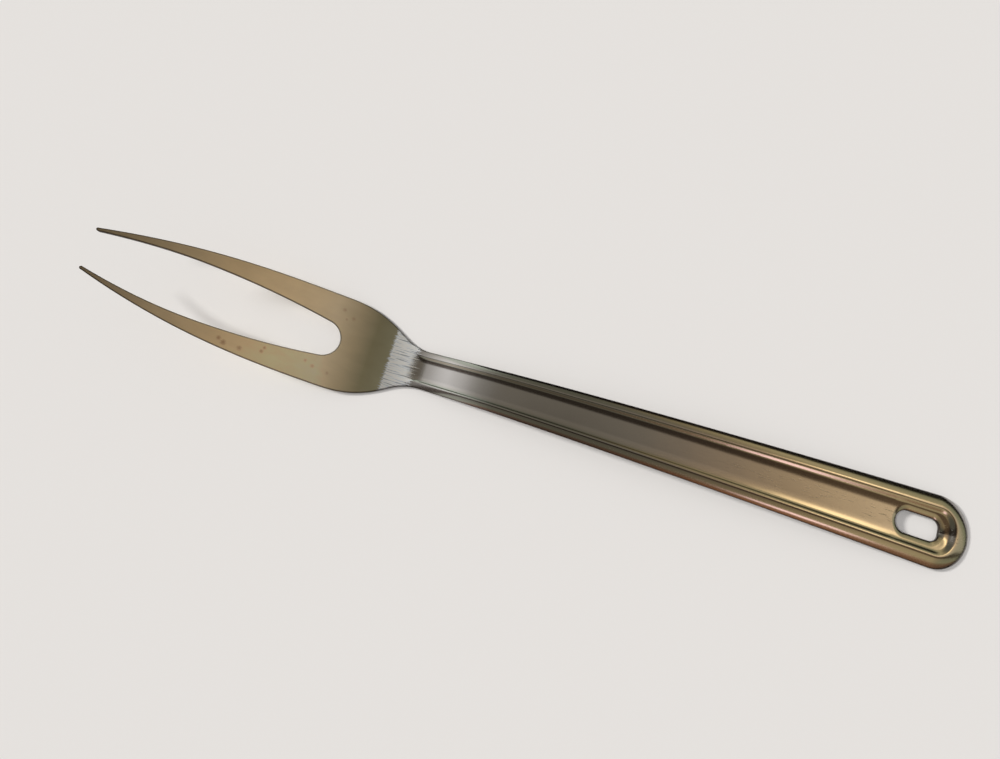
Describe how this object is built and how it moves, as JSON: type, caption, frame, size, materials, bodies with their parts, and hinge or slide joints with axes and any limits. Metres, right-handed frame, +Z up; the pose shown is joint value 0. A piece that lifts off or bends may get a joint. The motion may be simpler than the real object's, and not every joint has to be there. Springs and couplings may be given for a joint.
{
  "type": "serving fork",
  "caption": "Long two-tined serving fork pressed from stainless steel sheet: curved tines, a narrow neck, and an arched, bead-edged channel handle with a rounded end and a hanging slot.",
  "frame": {"origin": "middle of the bounding box in plan, at the height of the table that the fork rests on", "axes": "+X from the rounded hanging end along the fork to the tine tips, +Z up, the side that the tines curve towards, +Y across the fork to complete a right-handed frame"},
  "size_m": [0.33, 0.0348, 0.03],
  "materials": {
    "satin_stainless": "satin, with a faint warm tint",
    "polished_stainless": "polished, with fine scratches"
  },
  "bodies": {
    "root": {"fork_head": "satin_stainless", "handle": "polished_stainless"}
  },
  "joints": []
}
